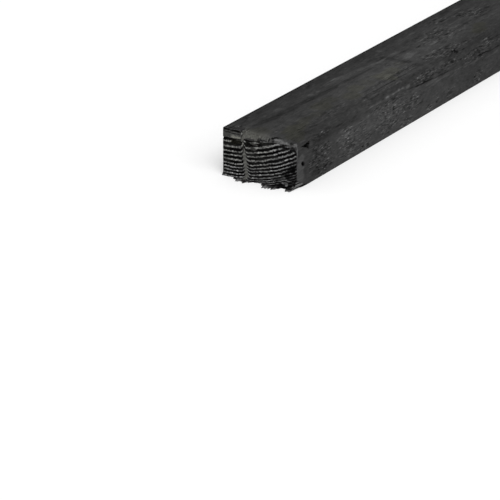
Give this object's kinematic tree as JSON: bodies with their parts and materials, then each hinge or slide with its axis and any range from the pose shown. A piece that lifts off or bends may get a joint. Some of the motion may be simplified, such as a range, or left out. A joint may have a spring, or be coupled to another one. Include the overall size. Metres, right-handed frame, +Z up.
{
  "type": "timber batten",
  "caption": "Long straight batten of sawn softwood, rectangular in section and stained black, with one worn and splintered end and a torn upper arris.",
  "frame": {"origin": "middle of the underside, on the floor that the batten lies on", "axes": "+X along the grain, away from the worn end; +Y across the width, towards the plain side; +Z up through the thickness"},
  "size_m": [1.8, 0.075, 0.044],
  "materials": {
    "stained_wood": "thin matt black stain over rough sawn grain"
  },
  "bodies": {
    "root": {"batten": "stained_wood"}
  },
  "joints": []
}
